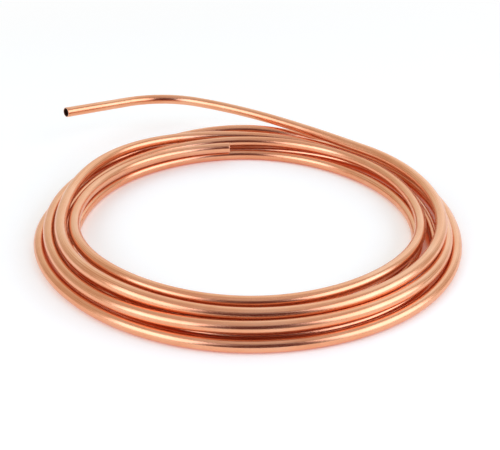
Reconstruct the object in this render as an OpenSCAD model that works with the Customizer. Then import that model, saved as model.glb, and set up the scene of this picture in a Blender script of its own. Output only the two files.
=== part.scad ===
// Copper tube coil: one length of soft copper tube, wound by hand into six loose turns.
// It lies flat on the floor at Z = 0 with the coil's axis on Z. The free end points along -X and a little up.

/* [Tube] */
// Outside diameter of the tube
tube_od = 8; // [6:0.5:10]
// Thickness of the tube's wall
tube_wall = 0.6; // [0.5:0.1:1]

/* [Coil] */
// Radius of the innermost turn, to the middle of the tube
coil_radius = 117.5; // [100:0.5:140]
// Least gap left between turns that lie together
turn_gap = 0.1; // [0.1:0.05:0.4]
// Angle round the coil from the first station to the cut end
cut_end_angle = 7; // [0:1:20]

/* [Free end] */
// Length of the slack run that leaves the coil
tail_run = 171; // [130:1:190]
// Angle the slack run turns through
tail_turn = 21; // [10:1:25]
// Height the slack run climbs to clear the turn below it
tail_lift = 5; // [5:0.5:12]
// Radius of the bend, to the middle of the tube
bend_radius = 52; // [45:1:90]
// Angle of the bend
bend_angle = 67; // [50:1:80]
// Angle the tube rises at by the end of the bend
end_rise = 6; // [0:0.5:8]
// Length of the straight end after the bend
end_run = 62; // [20:1:70]

/* [Hidden] */
// How the tube lies, one row a turn, from the cut end to the free end.
// Each entry is [column, level]: tubes out from the innermost turn, and tubes up from the floor.
lay = concat(
    [[0, 1.05], [0.15, 1.2], [0, 1.45], [0.2, 1.9], [0.05, 1.55], [0.05, 1.4], [0.3, 1], [0.9, 1.15]],
    [[1.2, 1.2], [1.25, 1], [1.15, 0.75], [1, 1.15], [0.8, 0.8], [0.2, 0.3], [0, 0], [0.1, 0]],
    [[0.65, 0], [0.55, 0], [0.2, 0], [1.05, 0], [1.9, 0], [2.2, 0], [1.25, 0.1], [1.6, 0.3]],
    [[1.75, 0], [2.25, 0], [3, 0], [2.75, 0], [3.1, 0], [3.35, 0], [3.2, 0], [3.8, 0]],
    [[3.85, 1.4], [2.85, 1], [2.15, 1.15], [2.25, 1], [2.55, 1.15], [2.6, 1], [2.35, 0.6], [2.7, 0.65]],
    [[2.4, 1.25], [2.2, 1.95], [1.05, 1.9], [1.65, 2.1], [1.55, 1.55], [1.75, 1.55], [1.85, 1.75], [1.8, 2]]
);
// Angle round the coil from one station to the next
station_angle = 45;
// Rings of facets from one station to the next
station_rings = 4;
// Rings of facets along the slack run and round the bend
tail_rings = 5;
bend_rings = 8;
// Facets round the wound tube
sides = 12;
// Facets round the straight end
end_sides = 48;
// Length over which the wound tube necks down to seat on the straight end
neck_run = 0.5;
// Depth that the neck reaches into the straight end
neck_depth = 0.1;

tube_radius = tube_od / 2;
bore_radius = tube_radius - tube_wall;
pitch = tube_od + turn_gap;
last = len(lay) - 1;
// The coil is turned so that the straight end comes out along -X
leave_azimuth = 90 - tail_turn - bend_angle;

// The chart's entry at a station. Past either end it repeats, so the tube starts and leaves level.
function station(i) = lay[i < 0 ? 0 : i > last ? 2 * last - i : i];

// Column and level on a smooth curve between station i and the next one
function lie(i, t) =
    let (before = station(i - 1), from = station(i), to = station(i + 1), after = station(i + 2))
    from + t / 2 * (to - before
        + t * (2 * before - 5 * from + 4 * to - after
        + t * (3 * (from - to) + after - before)));

function toward(azimuth) = [cos(azimuth), sin(azimuth), 0];

function eased(t) = t * t * (3 - 2 * t);

// A ring is [centre, azimuth, rise]. It stands across the tube, upright where the rise is 0.
function coil_ring(s) =
    let (i = min(floor(s), last - 1), place = lie(i, s - i), azimuth = leave_azimuth - (last - s) * station_angle)
    [(coil_radius + place[0] * pitch) * toward(azimuth)
        + [0, 0, tube_radius + max(0, place[1]) * pitch], azimuth, 0];

// A ring at part t of an arc that carries on from another ring
function arc_ring(ring, radius, angle, climb, t) =
    [ring[0] + radius * (toward(ring[1] + angle * t) - toward(ring[1])) + [0, 0, climb * eased(t)],
        ring[1] + angle * t, 0];

cut_end = cut_end_angle / station_angle;
leave_ring = coil_ring(last);
slack_radius = tail_run / (tail_turn * PI / 180);
bend_start = arc_ring(leave_ring, slack_radius, tail_turn, tail_lift, 1);
bend_climb = bend_radius * bend_angle * PI / 180 * tan(end_rise) / 2;

// A ring at part t of the bend, where the tube rises more and more
function bend_ring(t) =
    let (ring = arc_ring(bend_start, bend_radius, bend_angle, 0, t))
    [ring[0] + [0, 0, bend_climb * t * t], ring[1], atan(t * tan(end_rise))];

bend_end = bend_ring(1);
end_toward = [-cos(end_rise), 0, sin(end_rise)];
end_start = bend_end[0] + (neck_run - neck_depth) * end_toward;
// The last ring seats inside the wall of the straight end, clear of both its edges
neck = [bend_end[0] + neck_run * end_toward, bend_end[1], end_rise];
neck_radius = tube_radius - tube_wall / 3;
neck_bore_radius = (bore_radius + tube_wall / 10) / cos(180 / sides);

rings = concat(
    [coil_ring(cut_end)],
    [for (k = [floor(cut_end * station_rings) + 1 : last * station_rings]) coil_ring(k / station_rings)],
    [for (k = [1 : tail_rings]) arc_ring(leave_ring, slack_radius, tail_turn, tail_lift, k / tail_rings)],
    [for (k = [1 : bend_rings]) bend_ring(k / bend_rings)],
    [neck]
);

// The way up across a ring
function upward(ring) = [0, 0, cos(ring[2])] - sin(ring[2]) * toward(ring[1] + 90);

// The points of one wall, ring after ring, each ring starting at its lowest point
function wall_points(radius, last_radius) =
    [for (j = [0 : len(rings) - 1], k = [0 : sides - 1])
        let (ring = rings[j], reach = j < len(rings) - 1 ? radius : last_radius, round = 360 * k / sides - 90)
        ring[0] + reach * (cos(round) * toward(ring[1]) + sin(round) * upward(ring))];

// Two triangles for the patch with corners a, b on one ring and c, d on the next
function patch(a, b, c, d) = [[a, b, d], [a, d, c]];

// The wound length, a hollow tube swept through all the rings
module wound_tube() {
    count = len(rings);
    inner = count * sides;
    outside_faces = [for (j = [0 : count - 2], k = [0 : sides - 1])
        let (a = j * sides + k, b = j * sides + (k + 1) % sides)
        each patch(a, b, a + sides, b + sides)];
    bore_faces = [for (j = [0 : count - 2], k = [0 : sides - 1])
        let (a = inner + j * sides + k, b = inner + j * sides + (k + 1) % sides)
        each patch(b, a, b + sides, a + sides)];
    cut_faces = [for (k = [0 : sides - 1])
        let (a = k, b = (k + 1) % sides)
        each patch(inner + a, inner + b, a, b)];
    joint_start = (count - 1) * sides;
    joint_faces = [for (k = [0 : sides - 1])
        let (a = joint_start + k, b = joint_start + (k + 1) % sides)
        each patch(a, b, inner + a, inner + b)];
    polyhedron(
        points = concat(wall_points(tube_radius, neck_radius), wall_points(bore_radius, neck_bore_radius)),
        faces = concat(outside_faces, bore_faces, cut_faces, joint_faces));
}

// The straight end with its open bore
module straight_end() {
    translate(end_start)
        rotate([0, end_rise - 90, 0])
            difference() {
                cylinder(r = tube_radius, h = end_run, $fn = end_sides);
                translate([0, 0, -1])
                    cylinder(r = bore_radius, h = end_run + 2, $fn = end_sides);
            }
}

module copper_tube() {
    color([0.78, 0.47, 0.36])
        union() {
            wound_tube();
            straight_end();
        }
}

copper_tube();
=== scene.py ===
import math

import bpy
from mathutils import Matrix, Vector


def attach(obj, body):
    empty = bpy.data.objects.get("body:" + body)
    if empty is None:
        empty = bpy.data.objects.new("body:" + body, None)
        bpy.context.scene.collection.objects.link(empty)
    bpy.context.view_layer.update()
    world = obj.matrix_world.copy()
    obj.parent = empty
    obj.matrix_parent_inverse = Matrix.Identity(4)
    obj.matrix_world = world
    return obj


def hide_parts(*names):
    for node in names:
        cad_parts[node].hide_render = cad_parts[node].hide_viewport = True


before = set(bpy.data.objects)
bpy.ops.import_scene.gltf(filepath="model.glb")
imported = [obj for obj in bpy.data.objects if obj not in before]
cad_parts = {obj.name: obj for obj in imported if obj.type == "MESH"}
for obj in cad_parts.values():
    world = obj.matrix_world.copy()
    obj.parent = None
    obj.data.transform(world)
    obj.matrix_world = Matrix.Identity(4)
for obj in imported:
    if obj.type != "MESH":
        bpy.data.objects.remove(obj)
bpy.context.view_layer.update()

scene = bpy.context.scene
scene.view_settings.view_transform = "Standard"


# Camera: where the coil was seen from
photoView = {
    "turn": -43.0,               # degrees round Z from looking along +Y
    "elevation": 28.2,
    "distance": 0.624,
    "target": (0.0023, 0.0073),  # metres right of and beyond the coil's axis
    "focal": 880.0,              # in the image's own pixels
    "imageWidth": 500.0,
    "sensorWidth": 36.0,         # millimetres
    "clipStart": 0.01,
}


def fromCamera(right, beyond, up):
    # a place given as seen by the camera, round the coil's axis
    t = math.radians(photoView["turn"])
    x = right * math.cos(t) - beyond * math.sin(t)
    y = right * math.sin(t) + beyond * math.cos(t)
    return Vector((x, y, up))


def makeCamera():
    lens = bpy.data.cameras.new("photoCamera")
    lens.sensor_width = photoView["sensorWidth"]
    lens.lens = photoView["focal"] / photoView["imageWidth"] * lens.sensor_width
    lens.clip_start = photoView["clipStart"]
    camera = bpy.data.objects.new("photoCamera", lens)
    scene.collection.objects.link(camera)
    target = fromCamera(*photoView["target"], 0.0)
    e = math.radians(photoView["elevation"])
    camera.location = target + fromCamera(0, -math.cos(e), math.sin(e)) * photoView["distance"]
    camera.rotation_euler = (target - camera.location).to_track_quat("-Z", "Y").to_euler()
    scene.camera = camera


makeCamera()
print("camera set")


# The copper tube: the same lay as the solid, in millimetres, swept with fine rings
copperTube = {
    "outside": 4.0,
    "bore": 3.4,
    "coilRadius": 117.5,
    "pitch": 8.1,
    "cutEndAngle": 7.0,
    "tailRun": 171.0,
    "tailTurn": 21.0,
    "tailLift": 5.0,
    "bendRadius": 52.0,
    "bendAngle": 67.0,
    "endRise": 6.0,
    "endRun": 62.4,
    "stationAngle": 45.0,
    "ringStep": 3.4,      # along the tube
    "sides": 32,
    # rounded rim of a cut: back from it, off the outside, off the bore
    "rim": [(0.0, 0.16, 0.08), (0.098, 0.048, 0.016), (0.28, 0.0, 0.0)],
}
millimetre = 0.001
onSkin, onCut, onBore = range(3)    # finishes of the tube's faces, in the order of its material slots

# one row a turn: tubes out from the innermost turn, and tubes up from the floor
turnsLay = [
    [(0, 1.05), (0.15, 1.2), (0, 1.45), (0.2, 1.9), (0.05, 1.55), (0.05, 1.4), (0.3, 1), (0.9, 1.15)],
    [(1.2, 1.2), (1.25, 1), (1.15, 0.75), (1, 1.15), (0.8, 0.8), (0.2, 0.3), (0, 0), (0.1, 0)],
    [(0.65, 0), (0.55, 0), (0.2, 0), (1.05, 0), (1.9, 0), (2.2, 0), (1.25, 0.1), (1.6, 0.3)],
    [(1.75, 0), (2.25, 0), (3, 0), (2.75, 0), (3.1, 0), (3.35, 0), (3.2, 0), (3.8, 0)],
    [(3.85, 1.4), (2.85, 1), (2.15, 1.15), (2.25, 1), (2.55, 1.15), (2.6, 1), (2.35, 0.6), (2.7, 0.65)],
    [(2.4, 1.25), (2.2, 1.95), (1.05, 1.9), (1.65, 2.1), (1.55, 1.55), (1.75, 1.55), (1.85, 1.75), (1.8, 2)],
]
stations = [Vector(place) for row in turnsLay for place in row]
lastStation = len(stations) - 1


def stationAt(i):
    # past either end the chart repeats, so the tube starts and leaves level
    if i < 0:
        return stations[0]
    return stations[2 * lastStation - i if i > lastStation else i]


def toward(azimuth):
    a = math.radians(azimuth)
    return Vector((math.cos(a), math.sin(a), 0))


def coilRing(s):
    # centre, azimuth and rise of the tube at station s, on a smooth curve through the chart
    i = min(int(s), lastStation - 1)
    t = s - i
    before, here, there, after = (stationAt(i + k) for k in (-1, 0, 1, 2))
    bend = 3 * (here - there) + after - before
    place = here + t / 2 * (there - before + t * (2 * before - 5 * here + 4 * there - after + t * bend))
    leave = 90 - copperTube["tailTurn"] - copperTube["bendAngle"]
    azimuth = leave - (lastStation - s) * copperTube["stationAngle"]
    centre = (copperTube["coilRadius"] + place.x * copperTube["pitch"]) * toward(azimuth)
    centre.z = copperTube["outside"] + max(0, place.y) * copperTube["pitch"]
    return centre, azimuth, 0.0


def arcRing(ring, radius, angle, t):
    # centre and azimuth at part t of a level arc that carries on from another ring
    centre = ring[0] + radius * (toward(ring[1] + angle * t) - toward(ring[1]))
    return centre, ring[1] + angle * t


def slackRing(start, t):
    # the slack run climbs clear of the turn below it
    radius = copperTube["tailRun"] / math.radians(copperTube["tailTurn"])
    centre, azimuth = arcRing(start, radius, copperTube["tailTurn"], t)
    centre.z += copperTube["tailLift"] * t * t * (3 - 2 * t)
    return centre, azimuth, 0.0


def bendLength():
    return copperTube["bendRadius"] * math.radians(copperTube["bendAngle"])


def bendRing(start, t):
    # the bend rises more and more
    centre, azimuth = arcRing(start, copperTube["bendRadius"], copperTube["bendAngle"], t)
    slope = math.tan(math.radians(copperTube["endRise"]))
    centre.z += bendLength() * slope / 2 * t * t
    return centre, azimuth, math.degrees(math.atan(t * slope))


def endRing(start, t):
    # the straight end
    centre, azimuth, rise = start
    r = math.radians(rise)
    onward = math.cos(r) * toward(azimuth + 90) + Vector((0, 0, math.sin(r)))
    return centre + copperTube["endRun"] * t * onward, azimuth, rise


def tubeRings():
    # every ring from the cut end inside the coil to the free end
    cutEnd = copperTube["cutEndAngle"] / copperTube["stationAngle"]
    stationRun = math.radians(copperTube["stationAngle"]) * copperTube["coilRadius"]
    stationRings = round(stationRun / copperTube["ringStep"])
    firstRing = math.floor(cutEnd * stationRings) + 1
    rings = [coilRing(cutEnd)]
    rings += [coilRing(k / stationRings) for k in range(firstRing, lastStation * stationRings + 1)]
    tail = ((slackRing, copperTube["tailRun"]), (bendRing, bendLength()), (endRing, copperTube["endRun"]))
    for ringOf, run in tail:
        start = rings[-1]
        steps = round(run / copperTube["ringStep"])
        rings += [ringOf(start, k / steps) for k in range(1, steps + 1)]
    return rings


def withRims(rings):
    # gives every ring its two radii, and rounds the rims with two more rings close behind each cut
    outside, bore = copperTube["outside"], copperTube["bore"]

    def rimOf(end, other):
        centre, azimuth, rise = end
        along = (other[0] - centre).normalized()
        return [((centre + along * back, azimuth, rise), outside - less, bore + more)
                for back, less, more in copperTube["rim"]]

    middle = [(ring, outside, bore) for ring in rings[1:-1]]
    return rimOf(rings[0], rings[1]) + middle + rimOf(rings[-1], rings[-2])[::-1]


def ringPoints(ring, reach):
    # points round one ring in metres, from its lowest one
    centre, azimuth, rise = ring
    r = math.radians(rise)
    across = toward(azimuth)
    upward = Vector((0, 0, math.cos(r))) - math.sin(r) * toward(azimuth + 90)
    sides = copperTube["sides"]
    turns = [2 * math.pi * k / sides - math.pi / 2 for k in range(sides)]
    return [(centre + reach * (math.cos(a) * across + math.sin(a) * upward)) * millimetre for a in turns]


def makeTube():
    rings = withRims(tubeRings())
    sides = copperTube["sides"]
    wall = (copperTube["outside"] - copperTube["bore"]) * millimetre
    verts = [point for ring, outside, bore in rings for point in ringPoints(ring, outside)]
    inner = len(verts)
    verts += [point for ring, outside, bore in rings for point in ringPoints(ring, bore)]
    centres = [ring[0] for ring, outside, bore in rings]
    run = [0.0]
    for one, two in zip(centres, centres[1:]):
        run.append(run[-1] + (two - one).length * millimetre)

    faces, finish, spots = [], [], []    # spots: place along and round the tube for each face corner

    def addFace(corners, spot, part):
        faces.append(corners)
        spots.extend(spot)
        finish.append(part)

    for j in range(len(rings) - 1):
        here, there = run[j], run[j + 1]
        for k in range(sides):
            a, b = j * sides + k, j * sides + (k + 1) % sides
            one, two = k / sides, (k + 1) / sides
            addFace((a, b, b + sides, a + sides),
                    ((here, one), (here, two), (there, two), (there, one)), onSkin)
            addFace((inner + b, inner + a, inner + a + sides, inner + b + sides),
                    ((here, two), (here, one), (there, one), (there, two)), onBore)
    last = inner - sides
    for k in range(sides):
        n = (k + 1) % sides
        one, two = k / sides, (k + 1) / sides
        addFace((n, k, inner + k, inner + n),
                ((0, two), (0, one), (wall, one), (wall, two)), onCut)
        addFace((last + k, last + n, inner + last + n, inner + last + k),
                ((0, one), (0, two), (wall, two), (wall, one)), onCut)

    mesh = bpy.data.meshes.new("copperTube")
    mesh.from_pydata(verts, [], faces)
    mesh.polygons.foreach_set("material_index", finish)
    mesh.polygons.foreach_set("use_smooth", [part != onCut for part in finish])
    layer = mesh.uv_layers.new(name="tubeRun")
    layer.data.foreach_set("uv", [value for spot in spots for value in spot])
    mesh.update()
    print("tube swept:", len(rings), "rings,", len(faces) * 2, "triangles, length", round(run[-1], 3), "m")
    made = bpy.data.objects.new("copperTube", mesh)
    scene.collection.objects.link(made)
    return made


class NodeSheet:
    # small helper to lay out the nodes of a material or a world from left to right
    columnStep = 190

    def __init__(self, owner):
        owner.use_nodes = True
        self.tree = owner.node_tree
        self.tree.nodes.clear()
        self.column = 0

    def add(self, kind, label="", inputs=None, **settings):
        node = self.tree.nodes.new(kind)
        node.location = (self.column, 0)
        self.column += self.columnStep
        node.label = label
        for key, value in settings.items():
            setattr(node, key, value)
        for key, value in (inputs or {}).items():
            node.inputs[key].default_value = value
        return node

    def join(self, source, target):
        self.tree.links.new(source, target)

    def noise(self, label, place, **inputs):
        node = self.add("ShaderNodeTexNoise", label, inputs)
        self.join(place, node.inputs["Vector"])
        return node.outputs["Fac"]

    def ramp(self, label, source, stops):
        # colours along a ramp, as (position, colour)
        node = self.add("ShaderNodeValToRGB", label)
        marks = node.color_ramp.elements
        for position, colour in stops[1:-1]:
            marks.new(position).color = (*colour, 1)
        for mark, (position, colour) in ((marks[0], stops[0]), (marks[-1], stops[-1])):
            mark.position = position
            mark.color = (*colour, 1)
        self.join(source, node.inputs["Fac"])
        return node.outputs["Color"]

    def mapped(self, label, source, fromRange, toRange=(0.0, 1.0), kind="LINEAR"):
        node = self.add("ShaderNodeMapRange", label, interpolation_type=kind)
        for name, value in zip(("From Min", "From Max", "To Min", "To Max"), (*fromRange, *toRange)):
            node.inputs[name].default_value = value
        self.join(source, node.inputs["Value"])
        return node.outputs["Result"]

    def combine(self, operation, one, two):
        node = self.add("ShaderNodeMath", operation=operation)
        self.join(one, node.inputs[0])
        self.join(two, node.inputs[1])
        return node.outputs["Value"]

    def bump(self, label, height, strength, depth, under=None):
        node = self.add("ShaderNodeBump", label, {"Strength": strength, "Distance": depth})
        self.join(height, node.inputs["Height"])
        if under:
            self.join(under, node.inputs["Normal"])
        return node.outputs["Normal"]

    def show(self, source, kind="ShaderNodeOutputMaterial"):
        out = self.add(kind)
        self.join(source, out.inputs["Surface"])


# The bright skin of drawn copper
brightCopper = {
    "warm": (0.82, 0.345, 0.18),      # faint tarnish
    "copper": (0.86, 0.395, 0.22),
    "pale": (0.88, 0.445, 0.27),      # rubbed places
    "tintStops": (0.3, 0.5, 0.72),    # where each of the three lies in the patches
    "patchScale": 28.0,
    "patchDetail": 5.0,
    "patchRoughness": 0.6,
    "drawnScale": (14.0, 70.0, 1.0),  # along and round the tube
    "drawnDetail": 4.0,
    "drawnRange": (0.3, 0.7),         # the part of the drawn lines that the roughness follows
    "roughness": (0.17, 0.33),
    "drawnBump": 0.035,
    "drawnDepth": 0.0002,
    "waveScale": 45.0,
    "waveDetail": 1.0,
    "waveBump": 0.12,
    "waveDepth": 0.0006,
}


def makeBrightCopper():
    c = brightCopper
    finish = bpy.data.materials.new("brightCopper")
    sheet = NodeSheet(finish)
    place = sheet.add("ShaderNodeTexCoord").outputs["Object"]
    run = sheet.add("ShaderNodeUVMap", uv_map="tubeRun").outputs["UV"]

    # patches of faint tarnish and rubbed copper
    patches = sheet.noise("tarnish patches", place,
                          Scale=c["patchScale"], Detail=c["patchDetail"], Roughness=c["patchRoughness"])
    tint = sheet.ramp("copper tint", patches, list(zip(c["tintStops"], (c["warm"], c["copper"], c["pale"]))))

    # fine lines left by the drawing die, along the tube
    stretch = sheet.add("ShaderNodeMapping", "along the tube", {"Scale": c["drawnScale"]})
    sheet.join(run, stretch.inputs["Vector"])
    lines = sheet.noise("drawn lines", stretch.outputs["Vector"], Scale=1.0, Detail=c["drawnDetail"])
    rough = sheet.mapped("satin", lines, c["drawnRange"], c["roughness"])

    # slight waves from winding the soft tube by hand
    waves = sheet.noise("hand-wound waves", place, Scale=c["waveScale"], Detail=c["waveDetail"])
    waved = sheet.bump("waves", waves, c["waveBump"], c["waveDepth"])
    lined = sheet.bump("lines", lines, c["drawnBump"], c["drawnDepth"], under=waved)

    skin = sheet.add("ShaderNodeBsdfPrincipled", inputs={"Metallic": 1.0})
    sheet.join(tint, skin.inputs["Base Color"])
    sheet.join(rough, skin.inputs["Roughness"])
    sheet.join(lined, skin.inputs["Normal"])
    sheet.show(skin.outputs["BSDF"])
    return finish


# The fresh faces that the pipe cutter left, with its fine marks
cutCopper = {
    "dark": (0.78, 0.43, 0.31),
    "light": (0.90, 0.60, 0.48),
    "markScale": 2600.0,
    "markDetail": 3.0,
    "markBump": 0.25,
    "markDepth": 0.0001,
    "roughness": 0.3,
}


def makeCutCopper():
    c = cutCopper
    finish = bpy.data.materials.new("cutCopper")
    sheet = NodeSheet(finish)
    place = sheet.add("ShaderNodeTexCoord").outputs["Object"]
    marks = sheet.noise("cutter marks", place, Scale=c["markScale"], Detail=c["markDetail"])
    tint = sheet.ramp("fresh copper", marks, [(0.0, c["dark"]), (1.0, c["light"])])
    marked = sheet.bump("marks", marks, c["markBump"], c["markDepth"])
    skin = sheet.add("ShaderNodeBsdfPrincipled", inputs={"Metallic": 1.0, "Roughness": c["roughness"]})
    sheet.join(tint, skin.inputs["Base Color"])
    sheet.join(marked, skin.inputs["Normal"])
    sheet.show(skin.outputs["BSDF"])
    return finish


# The skin inside the tube: copper much darker than the outside, and rougher
boreCopper = {
    "dark": (0.20, 0.10, 0.07),
    "light": (0.36, 0.20, 0.14),
    "boreTintScale": 300.0,
    "boreTintDetail": 4.0,
    "roughness": 0.5,
}


def makeBoreCopper():
    c = boreCopper
    finish = bpy.data.materials.new("boreCopper")
    sheet = NodeSheet(finish)
    place = sheet.add("ShaderNodeTexCoord").outputs["Object"]
    film = sheet.noise("bore tint noise", place, Scale=c["boreTintScale"], Detail=c["boreTintDetail"])
    tint = sheet.ramp("darker bore copper", film, [(0.0, c["dark"]), (1.0, c["light"])])
    skin = sheet.add("ShaderNodeBsdfPrincipled", inputs={"Metallic": 1.0, "Roughness": c["roughness"]})
    sheet.join(tint, skin.inputs["Base Color"])
    sheet.show(skin.outputs["BSDF"])
    return finish


tube = makeTube()
for finish in (makeBrightCopper(), makeCutCopper(), makeBoreCopper()):
    tube.data.materials.append(finish)
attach(tube, "root")
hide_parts("copper_tube")
print("copper finishes on the tube")


# Floor: white round the coil, and running into the white of the room
paleFloor = {
    "size": 3.0,
    "drop": 0.0002,                  # metres below the tube, so that the two share no face
    "colour": (0.95, 0.95, 0.95),
    "fade": (0.3, 0.9),              # metres from the axis where it begins to run into white and is all white
    "glow": (0.19, 0.178, 0.145),
    "paintedBounceGlow": (0.22, 0.04, 0.008),  # painted copper bounce light: a glow put on the floor down between the turns
    "glowReach": 0.03,               # metres round a spot that can shut it in
    "glowShut": (0.08, 0.34),        # share of open air where all of its glow is the painted copper bounce light and where none is
}


def makeFloorFinish():
    c = paleFloor
    finish = bpy.data.materials.new("paleFloor")
    sheet = NodeSheet(finish)
    rays = sheet.add("ShaderNodeLightPath").outputs
    seen = sheet.combine("MAXIMUM", rays["Is Camera Ray"], rays["Is Glossy Ray"])
    seen = sheet.combine("MAXIMUM", seen, rays["Is Transmission Ray"])

    # its glow is white in the open, and down between the turns it is a painted copper bounce light
    air = sheet.add("ShaderNodeAmbientOcclusion", inputs={"Distance": c["glowReach"]})
    clear = sheet.mapped("open air", air.outputs["AO"], c["glowShut"])
    glows = {"A": (*c["paintedBounceGlow"], 1), "B": (*c["glow"], 1)}
    tint = sheet.add("ShaderNodeMix", inputs=glows, data_type="RGBA")
    sheet.join(clear, tint.inputs["Factor"])
    glow = sheet.add("ShaderNodeEmission")
    sheet.join(tint.outputs["Result"], glow.inputs["Color"])
    sheet.join(seen, glow.inputs["Strength"])
    matt = sheet.add("ShaderNodeBsdfDiffuse", inputs={"Color": (*c["colour"], 1)})
    near = sheet.add("ShaderNodeAddShader")
    sheet.join(glow.outputs["Emission"], near.inputs[0])
    sheet.join(matt.outputs["BSDF"], near.inputs[1])

    # far out it runs into the white of the room, with no edge
    place = sheet.add("ShaderNodeTexCoord").outputs["Object"]
    away = sheet.add("ShaderNodeVectorMath", operation="LENGTH")
    sheet.join(place, away.inputs[0])
    fade = sheet.mapped("fade", away.outputs["Value"], c["fade"], kind="SMOOTHSTEP")
    white = sheet.add("ShaderNodeEmission")
    blend = sheet.add("ShaderNodeMixShader")
    sheet.join(sheet.combine("MULTIPLY", fade, seen), blend.inputs["Fac"])
    sheet.join(near.outputs["Shader"], blend.inputs[1])
    sheet.join(white.outputs["Emission"], blend.inputs[2])
    sheet.show(blend.outputs["Shader"])
    return finish


def makeFloor():
    half = paleFloor["size"] / 2
    mesh = bpy.data.meshes.new("floor")
    corners = [(-half, -half, 0), (half, -half, 0), (half, half, 0), (-half, half, 0)]
    mesh.from_pydata(corners, [], [(0, 1, 2, 3)])
    mesh.materials.append(makeFloorFinish())
    floor = bpy.data.objects.new("floor", mesh)
    floor.location.z = -paleFloor["drop"]
    scene.collection.objects.link(floor)


# Room: a dark wall behind the camera, a cool window beyond the coil and a pale ceiling
studioRoom = {
    "walls": [
        # degrees right of the camera, colour
        (-180.0, (0.95, 1.10, 1.12)),
        (-150.0, (0.82, 0.90, 0.84)),
        (-118.0, (0.62, 0.58, 0.50)),
        (-42.0, (0.60, 0.56, 0.48)),
        (-20.0, (0.09, 0.008, 0.002)),
        (34.0, (0.09, 0.008, 0.002)),
        (56.0, (0.60, 0.56, 0.48)),
        (118.0, (0.62, 0.58, 0.50)),
        (150.0, (1.09, 1.34, 1.48)),
        (180.0, (0.95, 1.10, 1.12)),
    ],
    "ceiling": (0.68, 0.68, 0.70),
    "ceilingEdge": (0.70, 0.96),    # rise of the directions where it begins and is full
    "shown": (1.0, 1.0, 1.0),       # what the camera itself sees of the room
}


def makeRoom():
    c = studioRoom
    scene.world = bpy.data.worlds.new("studioRoom")
    sheet = NodeSheet(scene.world)
    place = sheet.add("ShaderNodeTexCoord").outputs["Generated"]

    def along(axis):
        node = sheet.add("ShaderNodeVectorMath", operation="DOT_PRODUCT")
        node.inputs[1].default_value = axis
        sheet.join(place, node.inputs[0])
        return node.outputs["Value"]

    bearing = sheet.combine("ARCTAN2", along(fromCamera(1, 0, 0)), along(fromCamera(0, -1, 0)))
    turn = sheet.mapped("round the room", bearing, (-math.pi, math.pi))
    walls = sheet.ramp("walls", turn, [(0.5 + degrees / 360, wall) for degrees, wall in c["walls"]])

    split = sheet.add("ShaderNodeSeparateXYZ")
    sheet.join(place, split.inputs["Vector"])
    high = sheet.mapped("up the room", split.outputs["Z"], c["ceilingEdge"], kind="SMOOTHSTEP")
    room = sheet.add("ShaderNodeMix", inputs={"B": (*c["ceiling"], 1)}, data_type="RGBA")
    sheet.join(walls, room.inputs["A"])
    sheet.join(high, room.inputs["Factor"])
    rays = sheet.add("ShaderNodeLightPath").outputs
    shown = sheet.add("ShaderNodeMix", inputs={"B": (*c["shown"], 1)}, data_type="RGBA")
    sheet.join(rays["Is Camera Ray"], shown.inputs["Factor"])
    sheet.join(room.outputs["Result"], shown.inputs["A"])
    light = sheet.add("ShaderNodeBackground")
    sheet.join(shown.outputs["Result"], light.inputs["Color"])
    sheet.show(light.outputs["Background"], "ShaderNodeOutputWorld")


# Soft boxes, one on either side
softBoxes = {
    "distance": 2.0,
    "colour": (0.86, 1.0, 1.27),
    "boxes": [
        # name, degrees right of the camera, degrees up, size, watts
        ("leftBox", -48.0, 27.0, (1.6, 1.6), 15.2),
        ("rightBox", 66.0, 27.0, (2.15, 1.6), 20.5),
    ],
}


def makeBoxes():
    for name, bearing, rise, size, watts in softBoxes["boxes"]:
        lamp = bpy.data.lights.new(name, "AREA")
        lamp.shape = "RECTANGLE"
        lamp.size, lamp.size_y = size
        lamp.energy = watts
        lamp.color = softBoxes["colour"]
        box = bpy.data.objects.new(name, lamp)
        b, r = math.radians(bearing), math.radians(rise)
        way = fromCamera(math.sin(b) * math.cos(r), -math.cos(b) * math.cos(r), math.sin(r))
        box.location = softBoxes["distance"] * way
        box.rotation_euler = (-way).to_track_quat("-Z", "Y").to_euler()
        scene.collection.objects.link(box)


makeFloor()
makeRoom()
makeBoxes()
print("studio lit")
